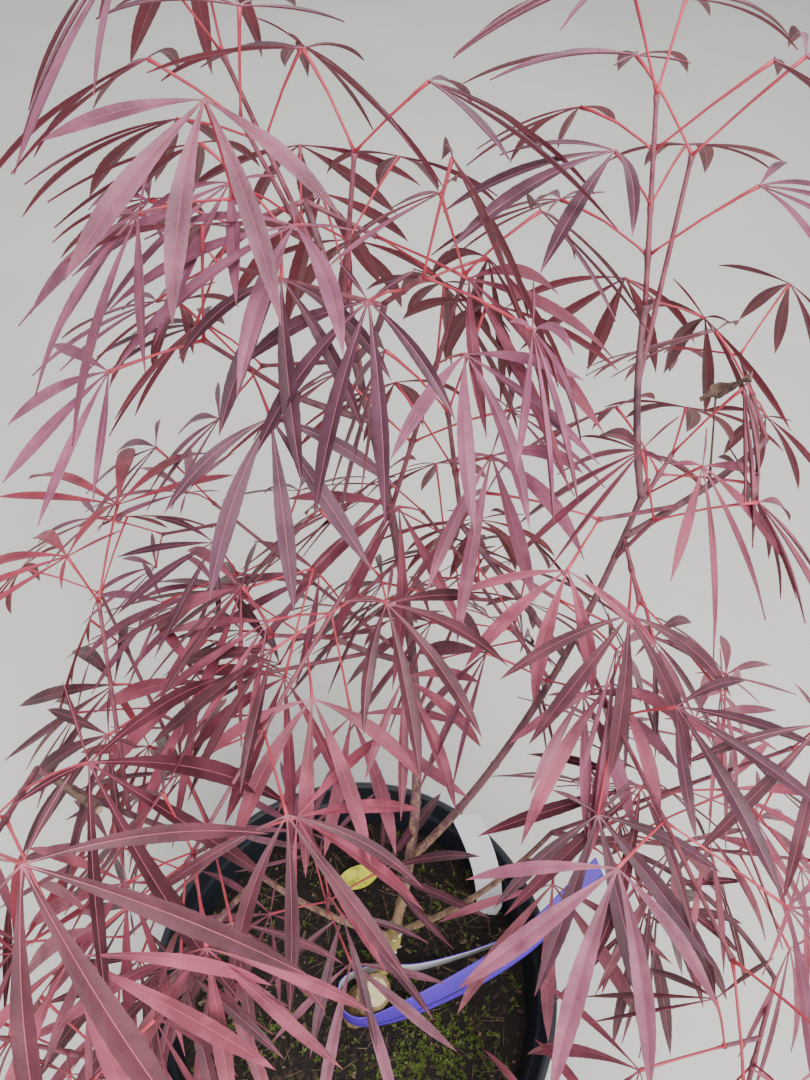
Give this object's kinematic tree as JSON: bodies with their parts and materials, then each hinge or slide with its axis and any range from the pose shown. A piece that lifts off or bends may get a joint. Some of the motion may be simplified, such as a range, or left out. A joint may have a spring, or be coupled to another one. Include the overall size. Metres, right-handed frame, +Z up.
{
  "type": "potted grafted Japanese maple",
  "caption": "Young grafted Japanese maple in a round nursery pot: slender forked stems and boughs with an open crown of dark red leaves in narrow straps, a looped tag and a stick label.",
  "frame": {"origin": "centre of the pot's flat underside", "axes": "+Z up; -Y is the front, the side that the picture was taken from; +X is the picture's right"},
  "size_m": [0.4732, 0.41, 0.6343],
  "materials": {
    "pot": "satin",
    "compost": "rough",
    "bark": "matte",
    "leaves": "matte",
    "tag": "satin",
    "label": "satin"
  },
  "bodies": {
    "root": {"pot": "pot", "compost": "compost", "trunk": "bark", "main_stem": "bark", "right_stem": "bark", "left_bough": "bark", "low_right_bough": "bark", "left_high_bough": "bark", "high_middle_bough": "bark", "left_middle_bough": "bark", "centre_bough": "bark", "far_right_bough": "bark", "upright_bough": "bark", "left_front_bough": "bark", "front_left_bough": "bark", "front_right_bough": "bark", "left_front_leaves": "leaves", "centre_front_leaves": "leaves", "left_middle_leaves": "leaves", "high_middle_leaves": "leaves", "left_upper_leaves": "leaves", "left_high_leaves": "leaves", "right_high_leaves": "leaves", "right_low_leaves": "leaves", "right_front_leaves": "leaves", "centre_top_leaves": "leaves", "top_middle_leaves": "leaves", "top_right_leaves": "leaves", "top_left_leaves": "leaves", "high_right_leaves": "leaves", "far_right_leaves": "leaves", "high_left_leaves": "leaves", "high_centre_leaves": "leaves", "top_edge_leaves": "leaves", "left_foot_leaves": "leaves", "front_low_leaves": "leaves", "left_low_leaves": "leaves", "right_middle_leaves": "leaves", "right_edge_leaves": "leaves", "left_crown_leaves": "leaves", "left_side_leaves": "leaves", "right_side_leaves": "leaves", "back_right_leaves": "leaves", "back_middle_leaves": "leaves", "back_left_leaves": "leaves", "front_middle_leaves": "leaves", "front_left_leaves": "leaves", "front_right_leaves": "leaves", "tag": "tag", "label": "label"}
  },
  "joints": []
}
